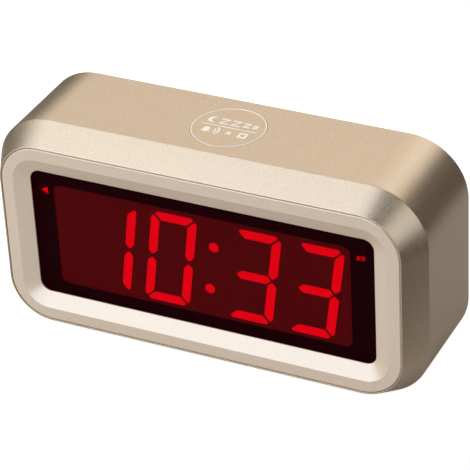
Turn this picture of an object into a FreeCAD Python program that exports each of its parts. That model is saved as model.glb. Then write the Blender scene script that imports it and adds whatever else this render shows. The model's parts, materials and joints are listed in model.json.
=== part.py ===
import FreeCAD, Part
import math
import os

# Digital alarm clock with a red seven-segment display, in millimetres.
# X runs to the right seen from the front, the display faces -Y, Z is up, and the table is at z = 0.
# Depths (d) are counted from the front rim towards the back.

# Overall housing
WIDTH = 130.0
HEIGHT = 66.0
DEPTH = 37.5
CORNER = 17.0
WALL = 2.0
FOOT = 0.8
EDGE_BREAK = 0.3

# Sloping front band, flat rim and window
BAND_DEPTH = 8.5
BAND_INSET = 4.4
RIM_WIDTH = 4.2
RIM_EDGE = 0.24
BEVEL_WIDTH = 4.4
BEVEL_DEPTH = 2.1
WINDOW_CORNER = 3.2
LIP = 0.4
REVEAL = 0.12
BEZEL_THICK = 3.9
LEDGE_THICK = 1.6
LEDGE_INSET = 10.0
HOOK_X = 20.0
HOOK_LENGTH = 8.0
HOOK_THICK = 1.15
HOOK_GAP = 0.25
HOOK_CATCH = 0.5

# Lens and printed mask
LENS_THICK = 1.5
LENS_OVERLAP = 1.5
LENS_GAP = 0.15
MASK_THICK = 0.1
MASK_MARGIN = 0.3
CLEAR_WIDTH = 90.2
CLEAR_MARGIN = 1.4
CLEAR_CORNER = 2.2
CLEAR_SHIFT_X = -0.9
CLEAR_SHIFT_Z = -1.0

# Seven-segment digits
DIGIT_HEIGHT = 29.6
DIGIT_WIDTH = 14.0
STROKE = 2.7
SEGMENT_GAP = 0.65
DIGIT_CHAMFER = 1.4
SLANT = 8.0
DIGIT_PITCH = 18.6
COLON_PITCH = 25.4
COLON_SPACING = 13.9
COLON_RADIUS = 1.5
DISPLAY_SHIFT_X = 2.4
DISPLAY_SHIFT_Z = -1.3
TIME_SHOWN = "1033"
SEGMENTS_OF = {"0": "abcdef", "1": "bc", "2": "abdeg", "3": "abcdg", "4": "bcfg",
               "5": "acdfg", "6": "acdefg", "7": "abc", "8": "abcdefg", "9": "abcdfg"}
DIFFUSER_THICK = 1.2
INDICATOR_X = 47.9
INDICATOR_Z = 13.2
INDICATOR_WINDOW = 1.9

# Reflector block and display board
REFLECTOR_WIDTH = 101.6
REFLECTOR_MARGIN = 3.05
REFLECTOR_DEPTH = 8.2
WELL_TAPER = 0.62
BOARD_THICK = 1.6
DISPLAY_BOARD_WIDTH = 102.0
BOARD_POST_INSET = 7.5
BOARD_POST_RADIUS = 2.3
BOARD_POST_X = 36.0
BOARD_HOLE_GAP = 0.2
LED_SIZE = (1.6, 0.6, 0.8)
CHIP_SIZE = (18.0, 7.5, 2.2)
CHIP_LEGS = 10
LEG_WIDTH = 0.4
LEG_REACH = 1.0
RESISTOR_SIZE = (1.6, 0.6, 3.2)
RESISTOR_DROP = 14.0
DRIVER_CHIP_DROP = 11.9

# Rear cover and case screws
COVER_THICK = 2.0
COVER_RECESS = 1.2
COVER_INSET = 1.15
REBATE_INSET = 1.0
PAD_THICK = 1.0
CASE_POST_RADIUS = 3.0
CASE_POST_INSET = 10.3
CASE_POST_WALL_GAP = 3.8
CASE_POST_LOW = 20.2
RIB_THICK = 1.2
SCREW_RADIUS = 1.4
SCREW_LENGTH = 10.0
SCREW_HEAD_RADIUS = 2.6
SCREW_HEAD = 1.7
SMALL_SCREW_RADIUS = 0.9
SMALL_SCREW_LENGTH = 5.0
SMALL_SCREW_HEAD_RADIUS = 1.9
SMALL_SCREW_HEAD = 1.3
PILOT_GAP = 0.05
SCREW_GAP = 0.2

# Battery bay, door and cells (four AA in two rows)
CELL_RADIUS = 7.25
CELL_LENGTH = 50.5
CELL_NUB = 1.2
CELL_NUB_RADIUS = 2.7
CELL_SHOULDER = 0.5
CELL_GAP = 0.7
CELL_DOOR_GAP = 0.35
CELL_FLOOR_GAP = 0.85
SPRING_LENGTH = 5.0
SPRING_TURNS = 3
CONTACT_THICK = 0.5
LEAD_RADIUS = 0.45
LEAD_BEND = 1.2
BAY_WALL = 1.2
BAY_COLLAR = 1.9
BAY_BOTTOM = 5.2
DOOR_THICK = 1.8
DOOR_GAP = 0.25
DOOR_OVERLAP = 1.0
DOOR_TOP_OVERLAP = 1.4
DOOR_TAB_X = 35.0
DOOR_TAB_WIDTH = 6.0
DOOR_TAB_THICK = 0.8
DOOR_TAB_REACH = 1.5
LATCH_HALF = 7.0
LATCH_BUMP = 0.12
LATCH_SLIT = 0.8
LATCH_FLEX = 9.0

# Keys and slide switches on the back
KEY_ROW_ABOVE_BAY = 11.3
KEY_PITCH = 13.0
KEY_FIRST = -24.5
KEY_SIZE = (7.6, 4.2)
KEY_CORNER = 1.0
KEY_GAP = 0.2
KEY_PROUD = 0.9
KEY_TRAVEL = 0.6
KEY_FLANGE = 1.0
KEY_FLANGE_GROW = (1.4, 1.2)
CONTROL_BOARD = (-50.5, 41.0)
CONTROL_BOARD_HEIGHT = 14.0
CONTROL_BOARD_GAP = 6.9
COVER_POST_RADIUS = 2.5
COVER_POST_PLACES = [(-33.0, 4.3), (22.5, -4.3)]
SWITCH_SIZE = 6.0
SWITCH_HEIGHT = 3.5
SWITCH_STEM = 0.8
SWITCH_STEM_RADIUS = 1.7
SWITCH_REST_GAP = 0.05
ALARM_SLIDE = -45.0
ALARM_TRAVEL = 2.0
BRIGHTNESS_SLIDE = 31.5
BRIGHTNESS_TRAVEL = 3.0
SLIDE_SWITCH_HEIGHT = 3.9
SLIDE_SWITCH_HALF = 4.3
KNOB_SIZE = (3.4, 2.8)
KNOB_PROUD = 0.7
KNOB_STEM = 1.6

# Snooze key in the roof
SNOOZE_RADIUS = 10.6
SNOOZE_X = 0.6
SNOOZE_TO_COVER = 11.9
SNOOZE_FIT = 0.08
SNOOZE_TRAVEL = 0.6
SNOOZE_FLANGE = 1.2
SNOOZE_FLANGE_GROW = 1.0
SNOOZE_PLUNGER = 1.65
SNOOZE_POST_GAP = 3.9
SNOOZE_POST_RADIUS = 2.25
SNOOZE_BOARD_MARGIN = 3.5
SNOOZE_BOARD_DEPTH = 11.0
SNOOZE_CABLE_X = 8.0
SNOOZE_CABLE_WIDTH = 5.0
SNOOZE_CABLE_GRIP = 1.6

# Buzzer, ribbon and feet
BUZZER_RADIUS = 6.0
BUZZER_HEIGHT = 8.5
BUZZER_X = 50.5
BUZZER_DROP = 1.7
BUZZER_COLLAR = 1.2
SOUND_RADIUS = 4.4
SOUND_SLOT = 0.9
SOUND_PITCH = 1.7
CAPACITOR_RADIUS = 3.15
CAPACITOR_HEIGHT = 7.7
RIBBON_THICK = 0.8
FOOT_RADIUS = 4.5
FOOT_X = 48.0
FOOT_BAND_GAP = 1.0
FOOT_COVER_GAP = 0.4
FOOT_SINK = 1.0
FOOT_GAP = 0.1

# How far a fused piece bites into its neighbour, and how far a cutting tool runs past what it cuts
BITE = 0.5
PAST = 1.0

# Levels and planes worked out from the sizes above
TOP = FOOT + HEIGHT
MIDDLE = FOOT + HEIGHT / 2
ROOF_UNDER = TOP - WALL
WINDOW_INSET = BAND_INSET + RIM_WIDTH + BEVEL_WIDTH
LENS_FRONT = BEZEL_THICK - LENS_THICK
REFLECTOR_FRONT = BEZEL_THICK + 2 * MASK_THICK
DISPLAY_BOARD_FRONT = REFLECTOR_FRONT + REFLECTOR_DEPTH
DISPLAY_BOARD_BACK = DISPLAY_BOARD_FRONT + BOARD_THICK
COVER_BACK = DEPTH - COVER_RECESS
COVER_FRONT = COVER_BACK - COVER_THICK
POST_TOP = COVER_FRONT - PAD_THICK
LEDGE_BACK = BEZEL_THICK + LEDGE_THICK
BAY_LENGTH = 2 * CELL_LENGTH + SPRING_LENGTH + 2 * CONTACT_THICK
CELL_PITCH = 2 * CELL_RADIUS + CELL_GAP
BAY_Z0 = FOOT + BAY_BOTTOM
BAY_Z1 = BAY_Z0 + 2 * CELL_PITCH
CELL_ROWS = [BAY_Z0 + CELL_PITCH * (row + 0.5) for row in range(2)]
DOOR_FRONT = COVER_BACK - DOOR_THICK
CELL_DEPTH = DOOR_FRONT - CELL_DOOR_GAP - CELL_RADIUS
BAY_FLOOR = CELL_DEPTH - CELL_RADIUS - CELL_FLOOR_GAP
BOARD_BACK = COVER_FRONT - CONTROL_BOARD_GAP
BOARD_FRONT = BOARD_BACK - BOARD_THICK
KEY_Z = BAY_Z1 + KEY_ROW_ABOVE_BAY
KEY_XS = [KEY_FIRST + KEY_PITCH * i for i in range(4)]
COVER_POSTS = [(x, KEY_Z + z) for x, z in COVER_POST_PLACES]
DRIVER_CHIP_Z = KEY_Z - DRIVER_CHIP_DROP
SLIDES = [(ALARM_SLIDE, ALARM_TRAVEL), (BRIGHTNESS_SLIDE, BRIGHTNESS_TRAVEL)]
BUZZER_Z = KEY_Z - BUZZER_DROP
CASE_POSTS = [(side * (WIDTH / 2 - CASE_POST_INSET), TOP - CASE_POST_INSET) for side in (-1, 1)]
CASE_POSTS += [(side * (WIDTH / 2 - WALL - CASE_POST_WALL_GAP), FOOT + CASE_POST_LOW) for side in (-1, 1)]
BOARD_POST_Z = HEIGHT / 2 - BOARD_POST_INSET
BOARD_POSTS = [(x, MIDDLE + z) for x in (-BOARD_POST_X, BOARD_POST_X) for z in (-BOARD_POST_Z, BOARD_POST_Z)]
DISPLAY_BOARD_HEIGHT = 2 * (BOARD_POST_Z + BOARD_POST_RADIUS + BOARD_HOLE_GAP)
REFLECTOR_HEIGHT = DIGIT_HEIGHT + 2 * REFLECTOR_MARGIN
CLEAR_HEIGHT = DIGIT_HEIGHT + 2 * CLEAR_MARGIN
SNOOZE_DEPTH = COVER_FRONT - SNOOZE_TO_COVER
SNOOZE_POST_REACH = SNOOZE_RADIUS + SNOOZE_POST_GAP
SNOOZE_POSTS = [SNOOZE_X - SNOOZE_POST_REACH, SNOOZE_X + SNOOZE_POST_REACH]
SNOOZE_FOOT = ROOF_UNDER - SNOOZE_FLANGE - SNOOZE_PLUNGER
SNOOZE_BOARD_TOP = SNOOZE_FOOT - SNOOZE_TRAVEL - SWITCH_REST_GAP - SWITCH_STEM - SWITCH_HEIGHT
SNOOZE_BOARD_UNDER = SNOOZE_BOARD_TOP - BOARD_THICK
FOOT_DEPTHS = (BAND_DEPTH + FOOT_BAND_GAP + FOOT_RADIUS, COVER_FRONT - FOOT_COVER_GAP - FOOT_RADIUS)
FEET = [(x, d) for x in (-FOOT_X, FOOT_X) for d in FOOT_DEPTHS]
SMALL_PILOT = SMALL_SCREW_RADIUS + PILOT_GAP
SMALL_CLEARANCE = SMALL_SCREW_RADIUS + BOARD_HOLE_GAP


# ---------------------------------------------------------------- helpers

def point(x, d, z):
    """A point by its place across, its depth behind the front rim and its height."""
    return FreeCAD.Vector(x, d - DEPTH / 2, z)


def block(x0, x1, d0, d1, z0, z1):
    return Part.makeBox(x1 - x0, d1 - d0, z1 - z0, point(x0, d0, z0))


def bar(x, z, radius, d0, d1):
    """A round bar that runs front to back."""
    return Part.makeCylinder(radius, d1 - d0, point(x, d0, z), FreeCAD.Vector(0, 1, 0))


def pillar(x, d, radius, z0, z1):
    return Part.makeCylinder(radius, z1 - z0, point(x, d, z0))


def rod(d, z, radius, x0, x1):
    """A round rod that runs left to right."""
    return Part.makeCylinder(radius, x1 - x0, point(x0, d, z), FreeCAD.Vector(1, 0, 0))


def rounded_wire(width, height, radius, d, x=0.0, z=MIDDLE):
    """An upright rounded rectangle at depth d."""
    u = width / 2 - radius
    v = height / 2 - radius
    corners = []
    for a, b, start in ((u, v, 0), (-u, v, 90), (-u, -v, 180), (u, -v, 270)):
        turns = [math.radians(start + turn) for turn in (0, 45, 90)]
        spots = [point(x + a + radius * math.cos(t), d, z + b + radius * math.sin(t)) for t in turns]
        corners.append(Part.Arc(*spots).toShape())
    loop = []
    for i, corner in enumerate(corners):
        following = corners[(i + 1) % 4]
        side = Part.LineSegment(corner.Vertexes[-1].Point, following.Vertexes[0].Point)
        loop += [corner, side.toShape()]
    return Part.Wire(loop)


def slab(width, height, radius, d0, d1, x=0.0, z=MIDDLE):
    face = Part.Face(rounded_wire(width, height, radius, d0, x, z))
    return face.extrude(FreeCAD.Vector(0, d1 - d0, 0))


def outline(inset, d):
    """The body outline moved inwards by inset."""
    return rounded_wire(WIDTH - 2 * inset, HEIGHT - 2 * inset, CORNER - inset, d)


def body_slab(inset, d0, d1):
    return Part.Face(outline(inset, d0)).extrude(FreeCAD.Vector(0, d1 - d0, 0))


def body_taper(inset0, d0, inset1, d1):
    return Part.makeLoft([outline(inset0, d0), outline(inset1, d1)], True, True)


def polygon(corners, d0, d1):
    """A flat-sided prism from (x, z) corners, from depth d0 to d1."""
    wire = Part.makePolygon([point(x, d0, z) for x, z in corners + corners[:1]])
    return Part.Face(wire).extrude(FreeCAD.Vector(0, d1 - d0, 0))


def side_profile(corners, x0, x1):
    """A flat-sided prism from (depth, z) corners, from x0 to x1."""
    wire = Part.makePolygon([point(x0, d, z) for d, z in corners + corners[:1]])
    return Part.Face(wire).extrude(FreeCAD.Vector(x1 - x0, 0, 0))


def turned(profile, way, z):
    """A piece turned about a left-right axis at the cells' depth, from (x, radius) corners."""
    corners = [point(way * x, CELL_DEPTH, z + radius) for x, radius in profile]
    face = Part.Face(Part.makePolygon(corners + corners[:1]))
    return face.revolve(point(0, CELL_DEPTH, z), FreeCAD.Vector(1, 0, 0), 360)


def fuse(shapes):
    return shapes[0].fuse(shapes[1:]).removeSplitter()


def edges_at_depth(shape, d):
    y = d - DEPTH / 2
    return [e for e in shape.Edges if all(abs(v.Y - y) < 1e-4 for v in e.Vertexes)]


def bevelled_at(shape, d, size):
    """Break every edge that lies in the upright plane at depth d."""
    return shape.makeChamfer(size, edges_at_depth(shape, d))


def cross_recess(x, z, d, reach):
    """The tool that cuts a cross recess into a screw head whose face is at depth d."""
    half = 0.22
    deep = 1.0
    level = block(x - reach, x + reach, d - deep, d + PAST, z - half, z + half)
    upright = block(x - half, x + half, d - deep, d + PAST, z - reach, z + reach)
    return level.fuse(upright)


def case_screw(x, z):
    """A pan-head screw that sits in its counterbore in the rear cover."""
    under = COVER_BACK - SCREW_HEAD - SCREW_GAP
    face = under + SCREW_HEAD
    head = bevelled_at(bar(x, z, SCREW_HEAD_RADIUS, under, face), face, SCREW_HEAD * 0.3)
    shank = bar(x, z, SCREW_RADIUS, under - SCREW_LENGTH, under)
    return fuse([head, shank]).cut(cross_recess(x, z, face, SCREW_HEAD_RADIUS * 0.62))


def board_screw(x, z, under, way):
    """A small screw whose head bears on a board face at depth under; way is 1 when driven from behind."""
    head = sorted((under, under + way * SMALL_SCREW_HEAD))
    shank = sorted((under, under - way * SMALL_SCREW_LENGTH))
    return fuse([bar(x, z, SMALL_SCREW_HEAD_RADIUS, *head), bar(x, z, SMALL_SCREW_RADIUS, *shank)])


def save(name, solids):
    """Write one node; a list of solids is a group of separate pieces."""
    shape = Part.makeCompound(solids) if isinstance(solids, list) else solids
    shape.exportStep(os.path.join("parts", name + ".step"))
    print(name, len(shape.Solids), "solid(s)", round(shape.Volume, 1), "mm3")


# ---------------------------------------------------------------- housing and bezel

def shell():
    """The outer form less its hollow: lip for the bezel, ledge behind it, then even walls."""
    body = fuse([body_taper(BAND_INSET, 0, 0, BAND_DEPTH), body_slab(0, BAND_DEPTH, DEPTH)])
    body = body.makeFillet(EDGE_BREAK, edges_at_depth(body, BAND_DEPTH))
    body = bevelled_at(body, DEPTH, EDGE_BREAK)
    skin = WALL / math.cos(math.atan2(BAND_INSET, BAND_DEPTH))
    inner_at_ledge = BAND_INSET * (1 - LEDGE_BACK / BAND_DEPTH) + skin
    corner_depth = BAND_DEPTH * (1 + (skin - WALL) / BAND_INSET)
    for space in (body_slab(BAND_INSET + LIP, -PAST, BEZEL_THICK),
                  body_slab(LEDGE_INSET, BEZEL_THICK - PAST, LEDGE_BACK + PAST),
                  body_taper(inner_at_ledge, LEDGE_BACK, WALL, corner_depth),
                  body_slab(WALL, corner_depth, DEPTH + PAST),
                  body_slab(REBATE_INSET, COVER_FRONT, DEPTH + PAST)):
        body = body.cut(space)
    return body


def case_posts():
    """The four posts for the case screws, each with a rib that bites into the nearest wall but not through it."""
    rib = RIB_THICK / 2
    rib_front = BAND_DEPTH + 1.0
    rib_back = POST_TOP - 2.0
    posts = []
    for x, z in CASE_POSTS:
        posts.append(bar(x, z, CASE_POST_RADIUS, LEDGE_BACK - BITE, POST_TOP))
        if z > MIDDLE:
            posts.append(block(x - rib, x + rib, rib_front, rib_back, z, ROOF_UNDER + BITE))
        else:
            wall = math.copysign(WIDTH / 2 - WALL + BITE, x)
            posts.append(block(min(x, wall), max(x, wall), rib_front, rib_back, z - rib, z + rib))
    bite_limit = body_slab(WALL - BITE, 0, DEPTH)
    return [post.common(bite_limit) for post in posts]


def front_housing():
    """The one-piece painted shell: sloping front band, walls, screw posts and bosses."""
    posts = case_posts()
    for x, z in BOARD_POSTS:
        posts.append(bar(x, z, BOARD_POST_RADIUS, LEDGE_BACK - BITE, DISPLAY_BOARD_FRONT))
    for x in SNOOZE_POSTS:
        posts.append(pillar(x, SNOOZE_DEPTH, SNOOZE_POST_RADIUS, SNOOZE_BOARD_TOP, ROOF_UNDER + BITE))
    pilot = SCREW_RADIUS + PILOT_GAP
    holes = [bar(x, z, pilot, POST_TOP - SCREW_LENGTH, POST_TOP + PAST) for x, z in CASE_POSTS]
    for x, z in BOARD_POSTS:
        holes.append(bar(x, z, SMALL_PILOT, LEDGE_BACK + 0.8, DISPLAY_BOARD_FRONT + PAST))
    for x in SNOOZE_POSTS:
        holes.append(pillar(x, SNOOZE_DEPTH, SMALL_PILOT, SNOOZE_BOARD_TOP - PAST, ROOF_UNDER - PAST))
    holes.append(pillar(SNOOZE_X, SNOOZE_DEPTH, SNOOZE_RADIUS + SNOOZE_FIT, ROOF_UNDER - PAST, TOP + PAST))
    for x, d in FEET:
        holes.append(pillar(x, d, FOOT_RADIUS + FOOT_GAP, 0, FOOT + FOOT_SINK))
    return fuse([shell()] + posts).cut(holes)


def bezel_hook(x, side):
    """A snap hook that passes the ledge and catches behind it."""
    edge = MIDDLE + side * (HEIGHT / 2 - LEDGE_INSET)
    outer = edge - side * HOOK_GAP
    inner = outer - side * HOOK_THICK
    catch = LEDGE_BACK + 0.1
    tip = catch + 1.5
    stem = [(BEZEL_THICK - BITE, inner), (BEZEL_THICK - BITE, outer), (catch, outer),
            (catch, edge + side * HOOK_CATCH), (tip, outer), (tip, inner)]
    return side_profile(stem, x - HOOK_LENGTH / 2, x + HOOK_LENGTH / 2)


def front_bezel():
    """The flat rim and inner bevel around the window, with a rebate for the lens."""
    plate = bevelled_at(body_slab(BAND_INSET + LIP + REVEAL, 0, BEZEL_THICK), 0, RIM_EDGE)
    rim = BAND_INSET + RIM_WIDTH
    width = WIDTH - 2 * WINDOW_INSET
    height = HEIGHT - 2 * WINDOW_INSET
    wide = rounded_wire(WIDTH - 2 * rim, HEIGHT - 2 * rim, WINDOW_CORNER + BEVEL_WIDTH, 0)
    narrow = rounded_wire(width, height, WINDOW_CORNER, BEVEL_DEPTH)
    rebate = LENS_OVERLAP + LENS_GAP
    for opening in (Part.makeLoft([wide, narrow], True, True),
                    slab(width, height, WINDOW_CORNER, BEVEL_DEPTH - 0.01, BEZEL_THICK + PAST),
                    slab(width + 2 * rebate, height + 2 * rebate, WINDOW_CORNER + rebate, LENS_FRONT,
                         BEZEL_THICK + PAST)):
        plate = plate.cut(opening)
    return fuse([plate] + [bezel_hook(x, side) for x in (-HOOK_X, HOOK_X) for side in (-1, 1)])


def lens_size(margin=0.0):
    """Width, height and corner of the lens, less a margin all round."""
    grow = 2 * (LENS_OVERLAP - margin)
    width = WIDTH - 2 * WINDOW_INSET + grow
    height = HEIGHT - 2 * WINDOW_INSET + grow
    return width, height, WINDOW_CORNER + LENS_OVERLAP - margin


def display_lens():
    return slab(*lens_size(), LENS_FRONT, BEZEL_THICK)


def lens_mask():
    """The black print on the back of the lens, with the clear field and two indicator windows."""
    film = slab(*lens_size(MASK_MARGIN), BEZEL_THICK, BEZEL_THICK + MASK_THICK)
    openings = [slab(CLEAR_WIDTH, CLEAR_HEIGHT, CLEAR_CORNER, BEZEL_THICK - PAST, BEZEL_THICK + PAST,
                     CLEAR_SHIFT_X, MIDDLE + CLEAR_SHIFT_Z)]
    for x, z in indicator_spots():
        openings.append(bar(x, z, INDICATOR_WINDOW, BEZEL_THICK - PAST, BEZEL_THICK + PAST))
    return film.cut(openings)


# ---------------------------------------------------------------- display

def segment_end(kind, node):
    """The corners of one end of a segment, along it (u) and across it (v, outwards)."""
    shift = SEGMENT_GAP / math.sqrt(2)
    half = STROKE / 2
    if kind == "point":
        return [(node - shift - half, half), (node - shift, 0.0), (node - shift - half, -half)]
    corner = node + half - shift
    return [(corner - DIGIT_CHAMFER, half), (corner - DIGIT_CHAMFER / 2, half - DIGIT_CHAMFER / 2),
            (corner - STROKE, -half)]


def segment_corners(name, centre):
    """The (x, z) corners of segment a to g of the digit whose middle is at centre."""
    across = (DIGIT_WIDTH - STROKE) / 2
    up = (DIGIT_HEIGHT - STROKE) / 2
    if name in "adg":
        right = segment_end("point" if name == "g" else "mitre", across)
        left = [(-u, v) for u, v in reversed(right)]
        side = -1 if name == "d" else 1
        level = {"a": up, "g": 0.0, "d": -up}[name]
        flat = [(u, level + side * v) for u, v in right + left]
    else:
        side = 1 if name in "bc" else -1
        rise = 1 if name in "bf" else -1
        far = segment_end("mitre", up / 2)
        near = [(-u, v) for u, v in reversed(segment_end("point", up / 2))]
        flat = [(side * (across + v), rise * (up / 2 + u)) for u, v in far + near]
    lean = math.tan(math.radians(SLANT))
    return [(centre + x + lean * z, MIDDLE + DISPLAY_SHIFT_Z + z) for x, z in flat]


def digit_centres():
    inner = COLON_PITCH / 2
    return [DISPLAY_SHIFT_X + x for x in (-inner - DIGIT_PITCH, -inner, inner, inner + DIGIT_PITCH)]


def colon_spots():
    lean = math.tan(math.radians(SLANT))
    return [(DISPLAY_SHIFT_X + lean * z, MIDDLE + DISPLAY_SHIFT_Z + z)
            for z in (-COLON_SPACING / 2, COLON_SPACING / 2)]


def indicator_spots():
    return [(CLEAR_SHIFT_X + side * INDICATOR_X, MIDDLE + INDICATOR_Z) for side in (-1, 1)]


def middle_of(corners):
    return (sum(x for x, z in corners) / len(corners), sum(z for x, z in corners) / len(corners))


def light_well(corners):
    """The cavity behind one segment: a seat for its diffuser, then walls that close in on the LED."""
    seat_back = REFLECTOR_FRONT + DIFFUSER_THICK
    seat = polygon(corners, REFLECTOR_FRONT - PAST, seat_back)
    x, z = middle_of(corners)
    wide = [point(a, seat_back, b) for a, b in corners]
    narrow = [point(x + WELL_TAPER * (a - x), DISPLAY_BOARD_FRONT + BITE, z + WELL_TAPER * (b - z))
              for a, b in corners]
    walls = [wide, narrow]
    for i in range(len(corners)):
        walls.append([wide[i - 1], wide[i], narrow[i], narrow[i - 1]])
    faces = [Part.Face(Part.makePolygon(wall + wall[:1])) for wall in walls]
    return seat.fuse(Part.makeSolid(Part.makeShell(faces)))


def all_segments():
    """(corners, lit) of each of the 28 segments."""
    found = []
    for centre, figure in zip(digit_centres(), TIME_SHOWN):
        for name in "abcdefg":
            found.append((segment_corners(name, centre), name in SEGMENTS_OF[figure]))
    return found


def segment_reflector():
    """The moulded block that keeps each segment's light apart."""
    body = slab(REFLECTOR_WIDTH, REFLECTOR_HEIGHT, COLON_RADIUS, REFLECTOR_FRONT, DISPLAY_BOARD_FRONT)
    wells = [light_well(corners) for corners, lit in all_segments()]
    for x, z in colon_spots() + indicator_spots():
        wells.append(bar(x, z, COLON_RADIUS, REFLECTOR_FRONT - PAST, DISPLAY_BOARD_FRONT + PAST))
    return body.cut(wells)


def lit_segments():
    """The translucent inserts that shine, with the two dots of the colon."""
    back = REFLECTOR_FRONT + DIFFUSER_THICK
    dots = [bar(x, z, COLON_RADIUS, REFLECTOR_FRONT, back) for x, z in colon_spots()]
    return [polygon(corners, REFLECTOR_FRONT, back) for corners, lit in all_segments() if lit] + dots


def unlit_segments():
    back = REFLECTOR_FRONT + DIFFUSER_THICK
    return [polygon(corners, REFLECTOR_FRONT, back) for corners, lit in all_segments() if not lit]


def indicator_lights():
    """The two small light guides beside the digits."""
    back = DISPLAY_BOARD_FRONT - LED_SIZE[1] - 0.4
    return [bar(x, z, COLON_RADIUS, REFLECTOR_FRONT, back) for x, z in indicator_spots()]


def led_chips():
    spots = [middle_of(corners) for corners, lit in all_segments()]
    spots += colon_spots() + indicator_spots()
    w, t, h = LED_SIZE
    return [block(x - w / 2, x + w / 2, DISPLAY_BOARD_FRONT - t, DISPLAY_BOARD_FRONT, z - h / 2, z + h / 2)
            for x, z in spots]


def display_board():
    board = slab(DISPLAY_BOARD_WIDTH, DISPLAY_BOARD_HEIGHT, 3.0, DISPLAY_BOARD_FRONT, DISPLAY_BOARD_BACK)
    return board.cut([bar(x, z, SMALL_CLEARANCE, DISPLAY_BOARD_FRONT - PAST, DISPLAY_BOARD_BACK + PAST)
                      for x, z in BOARD_POSTS])


def chip(x, z, d, way):
    """A chip with two rows of bent legs on a board face at depth d; way is 1 or -1, away from the board."""
    length, width, thick = CHIP_SIZE
    lift = 0.1
    body = block(x - length / 2, x + length / 2, *sorted((d + way * lift, d + way * (thick - lift))),
                 z - width / 2, z + width / 2)
    pieces = [body]
    for i in range(CHIP_LEGS):
        px = x + (i - (CHIP_LEGS - 1) / 2) * length / CHIP_LEGS
        for side in (-1, 1):
            edge = z + side * width / 2
            leg = [(0.0, LEG_REACH), (0.25, LEG_REACH), (0.25, 0.35), (1.2, 0.25), (1.2, -BITE), (0.0, -BITE)]
            pieces.append(side_profile([(d + way * a, edge + side * b) for a, b in leg],
                                       px - LEG_WIDTH / 2, px + LEG_WIDTH / 2))
    return fuse(pieces)


def segment_resistors():
    """The row of current-limiting resistors on the back of the display board."""
    w, t, h = RESISTOR_SIZE
    z = DRIVER_CHIP_Z - RESISTOR_DROP
    return [block(x - w / 2, x + w / 2, DISPLAY_BOARD_BACK, DISPLAY_BOARD_BACK + t, z - h / 2, z + h / 2)
            for x in range(-18, 22, 5)]


# ---------------------------------------------------------------- rear cover, battery bay and door

def bay_frame(grow, d0, d1):
    """A box round the battery bay, grow larger on every side."""
    return block(-BAY_LENGTH / 2 - grow, BAY_LENGTH / 2 + grow, d0, d1, BAY_Z0 - grow, BAY_Z1 + grow)


def door_edges(gap=0.0):
    """Left, right, bottom and top of the battery door, with a gap all round."""
    half = BAY_LENGTH / 2 + DOOR_OVERLAP + gap
    return -half, half, BAY_Z0 - DOOR_OVERLAP - gap, BAY_Z1 + DOOR_TOP_OVERLAP + gap


def cradles():
    """Curved ribs on the bay floor that the cells lie in."""
    rib_top = CELL_DEPTH - CELL_RADIUS / 2
    half = RIB_THICK / 2
    ribs = []
    for share in (-0.8, -0.26, 0.26, 0.8):
        x = share * CELL_LENGTH
        rib = block(x - half, x + half, BAY_FLOOR - BITE, rib_top, BAY_Z0 - BITE, BAY_Z1 + BITE)
        ribs.append(rib.cut([rod(CELL_DEPTH, z, CELL_RADIUS + 0.1, x - PAST, x + PAST) for z in CELL_ROWS]))
    return ribs


def cover_body():
    """The plate with everything that stands up from its inner face."""
    plate = bevelled_at(body_slab(COVER_INSET, COVER_FRONT, COVER_BACK), COVER_BACK, EDGE_BREAK)
    room = body_slab(WALL + 0.3, 0, DEPTH)
    base = COVER_FRONT + BITE
    inner = [bay_frame(BAY_WALL, BAY_FLOOR - BAY_WALL, base), bay_frame(BAY_COLLAR, POST_TOP, base)]
    inner += [bar(x, z, CASE_POST_RADIUS + BITE, POST_TOP, base) for x, z in CASE_POSTS]
    inner += [bar(x, z, COVER_POST_RADIUS, BOARD_BACK, base) for x, z in COVER_POSTS]
    inner.append(bar(BUZZER_X, BUZZER_Z, BUZZER_RADIUS + BUZZER_COLLAR, COVER_FRONT - 4, base))
    locating = body_slab(WALL + 0.15, COVER_FRONT - 1.5, base).cut(
        body_slab(WALL + 0.15 + RIB_THICK, COVER_FRONT - 2, COVER_FRONT + PAST))
    lips = [locating.common(block(x0, x1, 0, DEPTH, 0, TOP)) for x0, x1 in ((-44, -20), (20, 44))]
    return fuse([plate] + [piece.common(room) for piece in inner] + lips)


def bay_openings():
    """The bay itself, the door's recess, the slots for its tabs and those for the contact lugs."""
    left, right, bottom, top = door_edges(DOOR_GAP)
    tools = [bay_frame(0, BAY_FLOOR, DEPTH), block(left, right, DOOR_FRONT, DEPTH, bottom, top)]
    slot_front = DOOR_FRONT - DOOR_TAB_REACH - 1.7
    half = DOOR_TAB_WIDTH / 2 + 0.5
    for x in (-DOOR_TAB_X, DOOR_TAB_X):
        tools.append(block(x - half, x + half, slot_front, COVER_FRONT, FOOT + WALL, BAY_Z0 + 0.1))
        tools.append(block(x - half, x + half, slot_front, DOOR_FRONT + 0.1, bottom, BAY_Z0 + 0.1))
    for z, d in lug_places():
        tools.append(block(-BAY_LENGTH / 2 - 3, -BAY_LENGTH / 2 + PAST, d - 1.0, d + 1.0, z - 0.7, z + 0.7))
    return tools


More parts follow.
